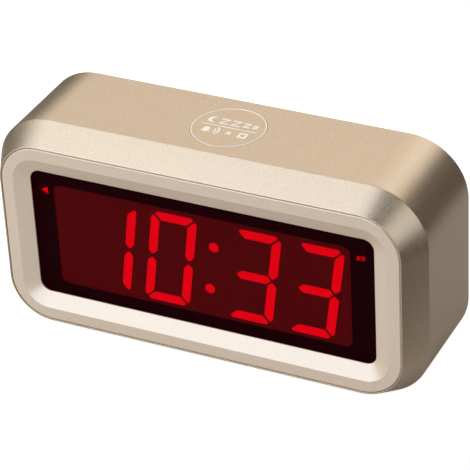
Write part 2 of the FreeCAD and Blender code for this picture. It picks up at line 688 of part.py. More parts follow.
def control_openings():
    """Screw holes, key and slide openings, and the slots in front of the buzzer."""
    front = COVER_FRONT - PAST
    tools = []
    for x, z in CASE_POSTS:
        tools.append(bar(x, z, SCREW_RADIUS + SCREW_GAP, POST_TOP - PAST, DEPTH))
        tools.append(bar(x, z, SCREW_HEAD_RADIUS + SCREW_GAP, COVER_BACK - SCREW_HEAD - SCREW_GAP, DEPTH))
    tools += [bar(x, z, SMALL_PILOT, BOARD_BACK - PAST, COVER_FRONT) for x, z in COVER_POSTS]
    high = KEY_SIZE[1] + 2 * KEY_GAP
    for x in KEY_XS:
        tools.append(slab(KEY_SIZE[0] + 2 * KEY_GAP, high, KEY_CORNER + KEY_GAP, front, DEPTH, x, KEY_Z))
    for x, travel in SLIDES:
        length = KNOB_SIZE[0] + travel + 2 * KEY_GAP
        tools.append(block(x + (travel - length) / 2, x + (travel + length) / 2, front, DEPTH,
                           KEY_Z - KNOB_SIZE[1] / 2 - KEY_GAP, KEY_Z + KNOB_SIZE[1] / 2 + KEY_GAP))
    tools.append(bar(BUZZER_X, BUZZER_Z, BUZZER_RADIUS + 0.1, COVER_FRONT - 5, COVER_FRONT))
    for i in (-2, -1, 0, 1, 2):
        x = BUZZER_X + SOUND_PITCH * i
        reach = math.sqrt(SOUND_RADIUS ** 2 - (SOUND_PITCH * i) ** 2)
        tools.append(block(x - SOUND_SLOT / 2, x + SOUND_SLOT / 2, front, DEPTH,
                           BUZZER_Z - reach, BUZZER_Z + reach))
    return tools


def rear_cover():
    """The back plate with the battery bay, screw pads, key openings and sound slots."""
    cover = cover_body().cut(bay_openings() + control_openings())
    return fuse([cover] + cradles())


def battery_door():
    """The flush door: rounded hinge edge with two tabs below, sprung latch tongue above."""
    left, right, bottom, top = door_edges()
    half = DOOR_THICK / 2
    axis = bottom + half
    hooked = axis + DOOR_TAB_THICK
    solids = [block(left, right, DOOR_FRONT, COVER_BACK, axis, top),
              rod(DOOR_FRONT + half, axis, half, left, right)]
    for x in (-DOOR_TAB_X, DOOR_TAB_X):
        x0 = x - DOOR_TAB_WIDTH / 2
        x1 = x + DOOR_TAB_WIDTH / 2
        solids.append(block(x0, x1, DOOR_FRONT - 1.7, DOOR_FRONT + BITE, axis, hooked))
        solids.append(block(x0, x1, DOOR_FRONT - 1.7, COVER_FRONT - 0.2, bottom - DOOR_TAB_REACH, hooked))
    grip = LATCH_HALF - 2
    solids.append(block(-grip, grip, COVER_BACK - 0.2, COVER_BACK + 0.7, top - 1.4, top - 0.4))
    solids.append(block(-grip, grip, DOOR_FRONT, DOOR_FRONT + 0.6, top - 0.2, top + LATCH_BUMP))
    slits = [block(s * LATCH_HALF - LATCH_SLIT / 2, s * LATCH_HALF + LATCH_SLIT / 2, DOOR_FRONT - PAST, DEPTH,
                   top - LATCH_FLEX, top + PAST) for s in (-1, 1)]
    grooves = [block(-grip, grip, COVER_BACK - 0.35, DEPTH, top - 3.4 - 1.5 * i, top - 2.6 - 1.5 * i)
               for i in range(4)]
    return fuse(solids).cut(slits + grooves)


def aa_cells():
    """Four plain AA cells, two end to end in each row, the rows pointing opposite ways."""
    can = CELL_LENGTH - CELL_NUB
    cells = []
    for way, z in zip((1, -1), CELL_ROWS):
        for i in range(2):
            tail = i * CELL_LENGTH - (BAY_LENGTH / 2 - CONTACT_THICK - SPRING_LENGTH)
            cells.append(turned([(tail, 0), (tail, CELL_RADIUS), (tail + can - CELL_SHOULDER, CELL_RADIUS),
                                 (tail + can, CELL_RADIUS - CELL_SHOULDER), (tail + can, CELL_NUB_RADIUS),
                                 (tail + CELL_LENGTH, CELL_NUB_RADIUS), (tail + CELL_LENGTH, 0)], way, z))
    return cells


def battery_springs():
    """The two conical contact springs, pressed nearly solid."""
    pitch = SPRING_LENGTH / SPRING_TURNS
    wire_depth = 0.45
    springs = []
    for way, z in zip((1, -1), CELL_ROWS):
        wall = CONTACT_THICK - BAY_LENGTH / 2
        profile = [(wall, 0)]
        for i in range(SPRING_TURNS):
            radius = CELL_RADIUS * 0.72 - 0.7 * i
            profile += [(wall + i * pitch, radius - wire_depth), (wall + (i + 0.5) * pitch, radius)]
        end = wall + SPRING_LENGTH
        profile += [(end, CELL_RADIUS / 2 - wire_depth), (end, 0)]
        springs.append(turned(profile, way, z))
    return springs


def lug_places():
    """Height and depth of the two solder lugs on the left contact plates."""
    low, high = CELL_ROWS
    return [(low + 3.2, CELL_DEPTH - 6.5), (high + 3.2, CELL_DEPTH - 3.9)]


def contact_plates():
    """Two single plates on the left and the plate that links the rows on the right."""
    low, high = CELL_ROWS
    wall = BAY_LENGTH / 2
    half = CELL_RADIUS - 0.85
    plates = []
    for z, (lug_z, lug_d) in zip(CELL_ROWS, lug_places()):
        sheet = block(-wall, -wall + CONTACT_THICK, CELL_DEPTH - half - 1, CELL_DEPTH + half,
                      z - half, z + half)
        lug = block(-wall - 2.4, -wall + 0.1, lug_d - 0.8, lug_d + 0.8, lug_z - 0.5, lug_z + 0.5)
        plates.append(fuse([sheet, lug]))
    plates.append(block(wall - CONTACT_THICK, wall, CELL_DEPTH - half, CELL_DEPTH + half,
                        low - half, high + half))
    return plates


def wire(spots, radius, bend):
    """A six-sided wire along straight runs joined by arcs; the first run goes straight up."""
    edges = []
    here = spots[0]
    for before, corner, after in zip(spots, spots[1:], spots[2:]):
        arrive = (corner - before).normalize()
        leave = (after - corner).normalize()
        a = corner - arrive * bend
        b = corner + leave * bend
        mid = corner + (leave - arrive) * (bend * (1 - math.sqrt(0.5)))
        edges += [Part.LineSegment(here, a).toShape(), Part.Arc(a, mid, b).toShape()]
        here = b
    edges.append(Part.LineSegment(here, spots[-1]).toShape())
    ring = []
    for i in range(6):
        t = math.radians(60 * i)
        ring.append(spots[0] + FreeCAD.Vector(radius * math.cos(t), radius * math.sin(t), 0))
    return Part.Wire(edges).makePipeShell([Part.makePolygon(ring + ring[:1])], True, False)


def battery_leads():
    """The two leads from the solder lugs to the control board."""
    leads = []
    x = -BAY_LENGTH / 2 - 1.95
    for i, (lug_z, lug_d) in enumerate(lug_places()):
        turn_z = KEY_Z - 1.5 - 2.5 * i
        end_x = CONTROL_BOARD[0] + 3 + 3 * i
        spots = [point(x, lug_d, lug_z + 0.5), point(x, lug_d, turn_z), point(end_x, lug_d, turn_z),
                 point(end_x, BOARD_FRONT, turn_z)]
        leads.append(wire(spots, LEAD_RADIUS, LEAD_BEND))
    return leads


# ---------------------------------------------------------------- control board, keys and switches

def control_board():
    x0, x1 = CONTROL_BOARD
    half = CONTROL_BOARD_HEIGHT / 2
    board = block(x0, x1, BOARD_FRONT, BOARD_BACK, KEY_Z - half, KEY_Z + half)
    return board.cut([bar(x, z, SMALL_CLEARANCE, BOARD_FRONT - PAST, BOARD_BACK + PAST)
                      for x, z in COVER_POSTS])


def key_switches():
    half = SWITCH_SIZE / 2
    top = BOARD_BACK + SWITCH_HEIGHT
    switches = []
    for x in KEY_XS:
        body = block(x - half, x + half, BOARD_BACK, top, KEY_Z - half, KEY_Z + half)
        switches.append(fuse([body, bar(x, KEY_Z, SWITCH_STEM_RADIUS, top - BITE, top + SWITCH_STEM)]))
    return switches


def key(x):
    """A push key: cap through the cover, flange behind it and a plunger over its switch."""
    face = COVER_BACK + KEY_PROUD
    cap = slab(KEY_SIZE[0], KEY_SIZE[1], KEY_CORNER, COVER_FRONT - BITE, face, x, KEY_Z)
    u = KEY_SIZE[0] / 2 + KEY_FLANGE_GROW[0]
    v = KEY_SIZE[1] / 2 + KEY_FLANGE_GROW[1]
    flange = block(x - u, x + u, COVER_FRONT - KEY_FLANGE, COVER_FRONT, KEY_Z - v, KEY_Z + v)
    tip = BOARD_BACK + SWITCH_HEIGHT + SWITCH_STEM + KEY_TRAVEL + SWITCH_REST_GAP
    plunger = bar(x, KEY_Z, SWITCH_STEM_RADIUS - 0.2, tip, COVER_FRONT - KEY_FLANGE / 2)
    return fuse([bevelled_at(cap, face, EDGE_BREAK), flange, plunger])


def slide_switches():
    """The metal-cased slide switches behind the two knobs."""
    back = BOARD_BACK + SLIDE_SWITCH_HEIGHT
    switches = []
    for x, travel in SLIDES:
        centre = x + travel / 2
        half = SLIDE_SWITCH_HALF + travel / 2
        body = block(centre - half, centre + half, BOARD_BACK, back, KEY_Z - 2.2, KEY_Z + 2.2)
        channel = (KNOB_STEM + travel) / 2 + 0.3
        switches.append(body.cut(block(centre - channel, centre + channel, back - 1.0, back + PAST,
                                       KEY_Z - 0.9, KEY_Z + 0.9)))
    return switches


def slide_knob(x, travel):
    """A ribbed thumb knob at its resting end of the slot, with the stem that moves the switch."""
    half = KNOB_SIZE[0] / 2
    rise = KNOB_SIZE[1] / 2
    cap = block(x - half, x + half, COVER_FRONT - BITE, COVER_BACK + KNOB_PROUD, KEY_Z - rise, KEY_Z + rise)
    cap = cap.cut([block(x + s - 0.2, x + s + 0.2, COVER_BACK + 0.3, DEPTH + PAST, KEY_Z - 2, KEY_Z + 2)
                   for s in (-0.9, 0, 0.9)])
    reach = half + travel + 0.8
    flange = block(x - reach, x + reach, COVER_FRONT - 0.9, COVER_FRONT - 0.1, KEY_Z - 2.6, KEY_Z + 2.6)
    tip = BOARD_BACK + SLIDE_SWITCH_HEIGHT - 0.8
    stem = block(x - KNOB_STEM / 2, x + KNOB_STEM / 2, tip, COVER_FRONT - BITE, KEY_Z - 0.6, KEY_Z + 0.6)
    return fuse([cap, flange, stem])


def buzzer():
    can = bar(BUZZER_X, BUZZER_Z, BUZZER_RADIUS, COVER_FRONT - BUZZER_HEIGHT, COVER_FRONT)
    return can.cut(bar(BUZZER_X, BUZZER_Z, 1.0, COVER_FRONT - 1.5, COVER_FRONT + PAST))


def smoothing_capacitors():
    end = BOARD_FRONT - CAPACITOR_HEIGHT
    return [bevelled_at(bar(x, KEY_Z, CAPACITOR_RADIUS, end, BOARD_FRONT), end, 0.4) for x in (-38.0, 36.5)]


def quartz_crystal():
    return slab(10.5, 4.4, 2.15, BOARD_FRONT - 3.5, BOARD_FRONT, 23.5, KEY_Z)


def arch(centre_d, centre_z, radius, x0, x1, keep):
    """A bent ribbon: part of a ring about a left-right axis, kept inside the box keep."""
    ring = rod(centre_d, centre_z, radius + RIBBON_THICK / 2, x0, x1).cut(
        rod(centre_d, centre_z, radius - RIBBON_THICK / 2, x0 - PAST, x1 + PAST))
    return ring.common(keep)


def board_ribbon():
    """The ribbon cable that joins the display board to the control board."""
    centre = (DISPLAY_BOARD_BACK + BOARD_FRONT) / 2
    bend = (BOARD_FRONT - DISPLAY_BOARD_BACK) * 0.67
    base = KEY_Z - bend
    keep = block(-WIDTH / 2, WIDTH / 2, DISPLAY_BOARD_BACK, BOARD_FRONT, base, base + 2 * bend)
    return arch(centre, base, bend, -24.0, -6.0, keep)


# ---------------------------------------------------------------- snooze key

def snooze_button():
    """The round key flush with the roof, its flange below the roof and a plunger in the middle."""
    cap = pillar(SNOOZE_X, SNOOZE_DEPTH, SNOOZE_RADIUS, ROOF_UNDER - BITE, TOP)
    rim = [e for e in cap.Edges if len(e.Vertexes) == 1 and abs(e.Vertexes[0].Z - TOP) < 1e-4]
    flange_under = ROOF_UNDER - SNOOZE_FLANGE
    flange = pillar(SNOOZE_X, SNOOZE_DEPTH, SNOOZE_RADIUS + SNOOZE_FLANGE_GROW, flange_under, ROOF_UNDER)
    plunger = pillar(SNOOZE_X, SNOOZE_DEPTH, 2.0, SNOOZE_FOOT, flange_under + BITE)
    return fuse([cap.makeChamfer(0.12, rim), flange, plunger])


def snooze_board():
    reach = SNOOZE_POST_REACH + SNOOZE_BOARD_MARGIN
    half = SNOOZE_BOARD_DEPTH / 2
    board = block(SNOOZE_X - reach, SNOOZE_X + reach, SNOOZE_DEPTH - half, SNOOZE_DEPTH + half,
                  SNOOZE_BOARD_UNDER, SNOOZE_BOARD_TOP)
    return board.cut([pillar(x, SNOOZE_DEPTH, SMALL_CLEARANCE, SNOOZE_BOARD_UNDER - PAST,
                             SNOOZE_BOARD_TOP + PAST) for x in SNOOZE_POSTS])


def snooze_board_screws():
    screws = []
    for x in SNOOZE_POSTS:
        head = pillar(x, SNOOZE_DEPTH, SMALL_SCREW_HEAD_RADIUS, SNOOZE_BOARD_UNDER - SMALL_SCREW_HEAD,
                      SNOOZE_BOARD_UNDER)
        shank = pillar(x, SNOOZE_DEPTH, SMALL_SCREW_RADIUS, SNOOZE_BOARD_UNDER,
                       SNOOZE_BOARD_UNDER + SMALL_SCREW_LENGTH)
        screws.append(fuse([head, shank]))
    return screws


def snooze_switch():
    half = SWITCH_SIZE / 2
    top = SNOOZE_BOARD_TOP + SWITCH_HEIGHT
    body = block(SNOOZE_X - half, SNOOZE_X + half, SNOOZE_DEPTH - half, SNOOZE_DEPTH + half,
                 SNOOZE_BOARD_TOP, top)
    return fuse([body, pillar(SNOOZE_X, SNOOZE_DEPTH, SWITCH_STEM_RADIUS, top - BITE, top + SWITCH_STEM)])


def snooze_cable():
    """A short flat cable from the snooze board down to the display board."""
    radius = SNOOZE_DEPTH - SNOOZE_BOARD_DEPTH / 2 + SNOOZE_CABLE_GRIP - DISPLAY_BOARD_BACK
    reach = radius + RIBBON_THICK
    keep = block(-WIDTH / 2, WIDTH / 2, DISPLAY_BOARD_BACK, DISPLAY_BOARD_BACK + reach,
                 SNOOZE_BOARD_UNDER - reach, SNOOZE_BOARD_UNDER)
    x = SNOOZE_X + SNOOZE_CABLE_X
    half = SNOOZE_CABLE_WIDTH / 2
    return arch(DISPLAY_BOARD_BACK, SNOOZE_BOARD_UNDER, radius, x - half, x + half, keep)


def rubber_feet():
    return [pillar(x, d, FOOT_RADIUS, 0, FOOT + FOOT_SINK) for x, d in FEET]


def main():
    os.makedirs("parts", exist_ok=True)
    save("front_housing", front_housing())
    save("front_bezel", front_bezel())
    save("display_lens", display_lens())
    save("lens_mask", lens_mask())
    save("segment_reflector", segment_reflector())
    save("lit_segments", lit_segments())
    save("unlit_segments", unlit_segments())
    save("indicator_lights", indicator_lights())
    save("led_chips", led_chips())
    save("display_board", display_board())
    save("display_board_screws", [board_screw(x, z, DISPLAY_BOARD_BACK, 1) for x, z in BOARD_POSTS])
    save("display_driver_chip", chip(0, DRIVER_CHIP_Z, DISPLAY_BOARD_BACK, 1))
    save("segment_resistors", segment_resistors())
    save("rear_cover", rear_cover())
    save("case_screws", [case_screw(x, z) for x, z in CASE_POSTS])
    save("battery_door", battery_door())
    save("aa_cells", aa_cells())
    save("battery_springs", battery_springs())
    save("contact_plates", contact_plates())
    save("battery_leads", battery_leads())
    save("control_board", control_board())
    save("control_board_screws", [board_screw(x, z, BOARD_FRONT, -1) for x, z in COVER_POSTS])
    save("clock_chip", chip(5, KEY_Z, BOARD_FRONT, -1))
    save("quartz_crystal", quartz_crystal())
    save("smoothing_capacitors", smoothing_capacitors())
    save("board_ribbon", board_ribbon())
    save("key_switches", key_switches())
    for name, x in zip(("time_key", "alarm_key", "hour_key", "minute_key"), KEY_XS):
        save(name, key(x))
    save("slide_switches", slide_switches())
    save("alarm_slide", slide_knob(ALARM_SLIDE, ALARM_TRAVEL))
    save("brightness_slide", slide_knob(BRIGHTNESS_SLIDE, BRIGHTNESS_TRAVEL))
    save("buzzer", buzzer())
    save("snooze_button", snooze_button())
    save("snooze_board", snooze_board())
    save("snooze_board_screws", snooze_board_screws())
    save("snooze_switch", snooze_switch())
    save("snooze_cable", snooze_cable())
    save("rubber_feet", rubber_feet())


main()
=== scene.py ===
import json
import math

import bmesh
import bpy
from mathutils import Matrix, Vector

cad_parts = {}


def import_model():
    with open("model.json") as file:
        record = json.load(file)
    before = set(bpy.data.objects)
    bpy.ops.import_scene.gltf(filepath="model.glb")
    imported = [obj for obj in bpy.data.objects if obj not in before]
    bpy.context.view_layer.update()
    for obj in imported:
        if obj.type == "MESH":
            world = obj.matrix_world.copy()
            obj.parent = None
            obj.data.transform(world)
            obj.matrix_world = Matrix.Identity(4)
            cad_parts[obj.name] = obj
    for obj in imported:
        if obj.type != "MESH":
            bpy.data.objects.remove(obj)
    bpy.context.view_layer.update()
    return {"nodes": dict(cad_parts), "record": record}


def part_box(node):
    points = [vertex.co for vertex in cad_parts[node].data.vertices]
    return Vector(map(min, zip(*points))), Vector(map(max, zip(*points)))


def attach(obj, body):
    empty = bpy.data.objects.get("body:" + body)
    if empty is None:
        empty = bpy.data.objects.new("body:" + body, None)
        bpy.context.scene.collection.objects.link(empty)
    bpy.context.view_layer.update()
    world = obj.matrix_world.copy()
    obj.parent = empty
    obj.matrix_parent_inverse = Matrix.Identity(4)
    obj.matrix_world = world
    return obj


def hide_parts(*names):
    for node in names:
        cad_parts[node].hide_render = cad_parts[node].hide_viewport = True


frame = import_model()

NODES = frame["nodes"]
MM = 0.001


# ---------------------------------------------------------------- places taken from the frame

def middle(node):
    low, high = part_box(node)
    return (low + high) / 2


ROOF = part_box("front_housing")[1].z
MASK_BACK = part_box("lens_mask")[1].y
COVER_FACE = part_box("rear_cover")[1].y


# ---------------------------------------------------------------- material helpers

def linear(value):
    """One channel of a colour, from its 0 to 255 screen value to linear light."""
    share = value / 255
    return ((share + 0.055) / 1.055) ** 2.4 if value > 10 else share / 12.92


def srgb(r, g, b):
    return (linear(r), linear(g), linear(b), 1.0)


def grey(value):
    return (value, value, value, 1.0)


def shade(colour, factor):
    return tuple(c * factor for c in colour[:3]) + (1.0,)


def set_inputs(node, **values):
    """Set a node's inputs by name, with an underscore for each space."""
    for key, value in values.items():
        node.inputs[key.replace("_", " ")].default_value = value


def add(owner, kind, **values):
    """A new shader node in a material or a world."""
    node = owner.node_tree.nodes.new(kind)
    set_inputs(node, **values)
    return node


def link(owner, source, target):
    owner.node_tree.links.new(source, target)


def arithmetic(owner, operation, *terms):
    """The result of a Math node whose terms are numbers or other nodes' outputs."""
    node = add(owner, "ShaderNodeMath")
    node.operation = operation
    for socket, term in zip(node.inputs, terms):
        if isinstance(term, float):
            socket.default_value = term
        else:
            link(owner, term, socket)
    return node.outputs[0]


def position(mat):
    return add(mat, "ShaderNodeTexCoord").outputs["Object"]


def noise(mat, scale, detail=3.0, roughness=0.5):
    node = add(mat, "ShaderNodeTexNoise", Scale=scale, Detail=detail, Roughness=roughness)
    link(mat, position(mat), node.inputs["Vector"])
    return node.outputs["Fac"]


def ramp(owner, value, low, high, low_at=0.35, high_at=0.65):
    """A colour that goes from one tone to the other as the value rises."""
    node = add(owner, "ShaderNodeValToRGB")
    for stop, place, colour in zip(node.color_ramp.elements, (low_at, high_at), (low, high)):
        stop.position = place
        stop.color = colour
    link(owner, value, node.inputs["Fac"])
    return node.outputs["Color"]


def new_material(name, colour, roughness, metallic=0.0):
    mat = bpy.data.materials.new(name)
    mat.use_nodes = True
    shader = mat.node_tree.nodes["Principled BSDF"]
    set_inputs(shader, Base_Color=colour, Roughness=roughness, Metallic=metallic)
    return mat, shader


def vary_colour(mat, shader, value, low, high):
    link(mat, ramp(mat, value, low, high), shader.inputs["Base Color"])


def vary_roughness(mat, shader, value, low, high):
    link(mat, ramp(mat, value, grey(low), grey(high)), shader.inputs["Roughness"])


def relief(mat, shader, height, strength, depth):
    """A bump of the given depth in millimetres."""
    node = add(mat, "ShaderNodeBump", Strength=strength, Distance=depth * MM)
    link(mat, height, node.inputs["Height"])
    link(mat, node.outputs["Normal"], shader.inputs["Normal"])
    return node


# ---------------------------------------------------------------- materials

FLAKE_SCALE = 2600.0
DULL = 0.05  # specular level of what lies behind the lens


def champagne_paint(name, base, metallic, roughness, contrast, coat, coat_ior):
    """Paint with fine flakes in colour and sheen, a faint orange peel, soft edges and a clear coat."""
    mat, shader = new_material(name, base, roughness, metallic)
    flakes = noise(mat, FLAKE_SCALE, detail=2.0, roughness=0.7)
    vary_colour(mat, shader, flakes, shade(base, 1 - contrast), shade(base, 1 + 0.8 * contrast))
    vary_roughness(mat, shader, noise(mat, FLAKE_SCALE, detail=2.0), roughness - 0.05, roughness + 0.06)
    peel = relief(mat, shader, flakes, strength=0.25, depth=0.04)
    soft_edge = add(mat, "ShaderNodeBevel", Radius=0.3 * MM)
    soft_edge.samples = 6
    link(mat, soft_edge.outputs["Normal"], peel.inputs["Normal"])
    set_inputs(shader, Coat_Weight=coat, Coat_IOR=coat_ior, Coat_Roughness=0.3)
    return mat


def red_lens():
    """Transparent red acrylic with a faint gloss."""
    mat, shader = new_material("red_lens", srgb(48, 0, 7), roughness=0.12)
    set_inputs(shader, Alpha=0.36, Specular_IOR_Level=0.03)
    vary_roughness(mat, shader, noise(mat, scale=900.0), 0.10, 0.14)
    return mat


def mask_print():
    """The black print on the back of the lens."""
    mat, shader = new_material("mask_print", srgb(6, 2, 3), roughness=0.6)
    set_inputs(shader, Specular_IOR_Level=DULL)
    vary_roughness(mat, shader, noise(mat, scale=3000.0), 0.55, 0.65)
    return mat


def block_plastic(name):
    """One tone for the dark block and the unlit diffusers, so dark segments vanish behind the lens."""
    base = srgb(166, 29, 26)
    mat, shader = new_material(name, base, roughness=0.8)
    set_inputs(shader, Specular_IOR_Level=DULL)
    vary_colour(mat, shader, noise(mat, scale=1500.0), shade(base, 0.96), shade(base, 1.04))
    return mat


def lit_diffuser():
    """A segment with its light on."""
    mat, shader = new_material("lit_diffuser", srgb(120, 4, 8), roughness=0.7)
    set_inputs(shader, Specular_IOR_Level=DULL, Emission_Color=srgb(255, 0, 18), Emission_Strength=1.68)
    vary_colour(mat, shader, noise(mat, scale=400.0), srgb(110, 4, 8), srgb(130, 5, 9))
    return mat


def moulded_plastic(name, colour, roughness, grain=2200.0, depth=0.06, strength=0.35):
    """Injection-moulded plastic with an etched texture."""
    mat, shader = new_material(name, colour, roughness)
    etching = noise(mat, grain, detail=4.0, roughness=0.6)
    vary_colour(mat, shader, noise(mat, grain * 0.3), shade(colour, 0.88), shade(colour, 1.12))
    vary_roughness(mat, shader, etching, roughness - 0.05, roughness + 0.07)
    relief(mat, shader, etching, strength, depth)
    return mat


def circuit_board():
    """Green solder mask with fine, lighter lines for the tracks under it."""
    base = srgb(22, 92, 46)
    mat, shader = new_material("circuit_board", base, roughness=0.35)
    tracks = add(mat, "ShaderNodeTexBrick", Scale=260.0, Mortar_Size=0.03, Color1=base,
                 Color2=shade(base, 0.9), Mortar=shade(base, 1.7))
    link(mat, position(mat), tracks.inputs["Vector"])
    link(mat, tracks.outputs["Color"], shader.inputs["Base Color"])
    set_inputs(shader, Coat_Weight=0.3)
    return mat


def metal(name, colour, roughness):
    """Plated steel with fine drawn scratches."""
    mat, shader = new_material(name, colour, roughness, metallic=1.0)
    stretch = add(mat, "ShaderNodeMapping", Scale=(1.0, 1.0, 14.0))
    link(mat, position(mat), stretch.inputs["Vector"])
    scratches = add(mat, "ShaderNodeTexNoise", Scale=700.0, Detail=4.0)
    link(mat, stretch.outputs["Vector"], scratches.inputs["Vector"])
    vary_roughness(mat, shader, scratches.outputs["Fac"], roughness - 0.08, roughness + 0.12)
    relief(mat, shader, scratches.outputs["Fac"], strength=0.1, depth=0.03)
    return mat


def cell_jacket():
    """The dark, plain part of the cell jackets."""
    dark = srgb(38, 40, 44)
    mat, shader = new_material("cell_jacket", dark, roughness=0.3, metallic=0.4)
    vary_colour(mat, shader, noise(mat, scale=220.0), shade(dark, 0.9), shade(dark, 1.15))
    set_inputs(shader, Coat_Weight=0.5)
    return mat


def two_tone(name, colour, low, high, scale, roughness, metallic=0.0):
    """A plain finish whose colour drifts a little between two tones."""
    mat, shader = new_material(name, colour, roughness, metallic)
    vary_colour(mat, shader, noise(mat, scale), low, high)
    return mat


def make_materials():
    """One finish for each material slot of the record."""
    materials = {
        "champagne_paint": champagne_paint("champagne_paint", srgb(216, 194, 168), metallic=0.94,
                                           roughness=0.40, contrast=0.14, coat=0.1, coat_ior=1.5),
        "red_lens": red_lens(),
        "mask_print": mask_print(),
        "reflector_plastic": block_plastic("reflector_plastic"),
        "dark_diffuser": block_plastic("dark_diffuser"),
        "lit_diffuser": lit_diffuser(),
        "circuit_board": circuit_board(),
        "screw_steel": metal("screw_steel", srgb(176, 178, 182), roughness=0.32),
        "contact_metal": metal("contact_metal", srgb(196, 192, 184), roughness=0.28),
        "cell_jacket": cell_jacket(),
        "dark_plastic": moulded_plastic("dark_plastic", srgb(34, 33, 34), roughness=0.52,
                                        grain=1700.0, depth=0.09, strength=0.5),
        "key_plastic": moulded_plastic("key_plastic", srgb(168, 156, 138), roughness=0.45,
                                       grain=2600.0, depth=0.04, strength=0.3),
        "foot_rubber": moulded_plastic("foot_rubber", srgb(30, 30, 31), roughness=0.85,
                                       grain=900.0, depth=0.1, strength=0.5),
    }
    plain_plastics = {  # colour and roughness
        "led_chip": (srgb(226, 214, 150), 0.25),
        "chip_plastic": (srgb(26, 26, 28), 0.55),
        "lead_insulation": (srgb(170, 24, 22), 0.45),
        "capacitor_sleeve": (srgb(28, 34, 62), 0.35),
        "ribbon_grey": (srgb(150, 150, 150), 0.55),
        "switch_plastic": (srgb(24, 24, 25), 0.5),
    }
    for name, (colour, roughness) in plain_plastics.items():
        materials[name] = moulded_plastic(name, colour, roughness)
    return materials


MATERIALS = make_materials()
CREAM = two_tone("cream_print", srgb(253, 247, 238), srgb(250, 243, 233), srgb(255, 250, 243),
                 scale=5000.0, roughness=0.40, metallic=0.80)
PALE = two_tone("pale_print", srgb(196, 194, 188), srgb(186, 184, 178), srgb(204, 202, 196),
                scale=4000.0, roughness=0.6)
COPPER = two_tone("copper_foil", srgb(196, 126, 78), srgb(186, 118, 72), srgb(206, 134, 86),
                  scale=240.0, roughness=0.34, metallic=0.8)


def dress_nodes():
    """Each CAD node gets the finish of its slot, but the bezel a paler paint with a glossy coat."""
    slot_of = {entry["node"]: entry["material_slot"] for entry in frame["record"]["subparts"]}
    own_finish = {
        "front_bezel": champagne_paint("bezel_paint", srgb(228, 199, 170), metallic=0.04,
                                       roughness=0.42, contrast=0.07, coat=1.0, coat_ior=3.0),
    }
    for name, node in NODES.items():
        node.data.materials.clear()
        node.data.materials.append(own_finish.get(name, MATERIALS[slot_of[name]]))


dress_nodes()


# ---------------------------------------------------------------- outlines, in millimetres

MOON_MOUTH = 50  # degrees from the middle of the gap to a horn


def arc(x, y, radius, start, end, steps):
    """Points on a circle from one angle to another, in degrees."""
    angles = [math.radians(start + (end - start) * i / steps) for i in range(steps + 1)]
    return [(x + radius * math.cos(a), y + radius * math.sin(a)) for a in angles]


def circle(x, y, radius, steps=48):
    return arc(x, y, radius, 0, 360, steps)[:-1]


def rectangle(x, y, half_width, half_height):
    return [(x - half_width, y - half_height), (x + half_width, y - half_height),
            (x + half_width, y + half_height), (x - half_width, y + half_height)]


def bar(start, end, width):
    """A straight stroke from one point to another."""
    start, end = Vector(start), Vector(end)
    along = (end - start).normalized() * (width / 2)
    side = Vector((-along.y, along.x))
    return [tuple(corner) for corner in (start + side, start - side, end - side, end + side)]


def sleep_mark(x, y, size, stroke):
    """The common mark for sleep, as one outline."""
    h = size / 2
    slant = 1.35 * stroke
    return [(x - h, y + h), (x + h, y + h), (x + h, y + h - stroke), (x - h + slant, y - h + stroke),
            (x + h, y - h + stroke), (x + h, y - h), (x - h, y - h), (x - h, y - h + stroke),
            (x + h - slant, y + h - stroke), (x - h, y + h - stroke)]


def crescent(x, y, radius):
    """A moon: most of a circle, hollowed by an arc about a point further right."""
    outer = arc(x, y, radius, MOON_MOUTH, 360 - MOON_MOUTH, 28)
    hollow_x = x + 0.52 * radius
    reach = math.dist(outer[0], (hollow_x, y))
    tip = math.degrees(math.atan2(outer[0][1] - y, outer[0][0] - hollow_x))
    return outer + arc(hollow_x, y, reach, -tip, tip - 360, 20)[1:-1]


def bell(x, y, size):
    """A small bell: a dome over a flared skirt, and a clapper."""
    h = size / 2
    shoulder, waist, rim, clapper = (y + share * h for share in (0.25, -0.25, -0.62, -0.82))
    dome = [(x + 0.55 * dx, shoulder + 0.6 * dy) for dx, dy in arc(0, 0, h, 0, 180, 14)]
    skirt = [(x - 0.62 * h, waist), (x - 0.95 * h, rim), (x + 0.95 * h, rim), (x + 0.62 * h, waist)]
    return [dome + skirt, circle(x, clapper, 0.17 * h, 14)]


def wave(x, y, radius, stroke):
    """A sound wave: about a quarter of a ring, hollow to the left."""
    return [arc(x, y, radius + stroke / 2, -50, 50, 10) + arc(x, y, radius - stroke / 2, 50, -50, 10)]


def cross(x, y, size, stroke):
    """A diagonal cross as one outline."""
    t = stroke / 2
    h = size / 2 - t
    plus = [(t, t), (h, t), (h, -t), (t, -t), (t, -h), (-t, -h), (-t, -t), (-h, -t), (-h, t), (-t, t),
            (-t, h), (t, h)]
    c = math.sqrt(0.5)
    return [[(x + c * (px - py), y + c * (px + py)) for px, py in plus]]


def arrow_up(y, size):
    """A plain arrowhead."""
    h = size / 2
    return [[(-h, y - 0.6 * h), (0, y + 0.7 * h), (h, y - 0.6 * h)]]


def clock_mark(radius):
    """A dial ring with two hands."""
    ring = 0.32
    t = 0.14
    short, long = 0.55 * radius, 0.3 + 0.35 * radius
    hands = [(-t, -t), (t, -t), (t, 0.05), (short, 0.05), (short, 0.3), (-t, long)]
    return [circle(0, 0, radius), circle(0, 0, radius - ring), hands]


def sun_mark(radius):
    """A disc with eight rays."""
    rays = 8
    ray_width = 0.26
    ends = zip(circle(0, 0, 1.35 * radius, rays), circle(0, 0, 1.9 * radius, rays))
    return [circle(0, 0, radius, 32)] + [bar(start, end, ray_width) for start, end in ends]


# ---------------------------------------------------------------- pieces

PRINT_THICK = 0.03 * MM
UPRIGHT = Matrix.Rotation(math.radians(90), 4, "X")
ABOUT_FACE = Matrix.Rotation(math.radians(180), 4, "Z")
SHARP_EDGE = math.radians(35)


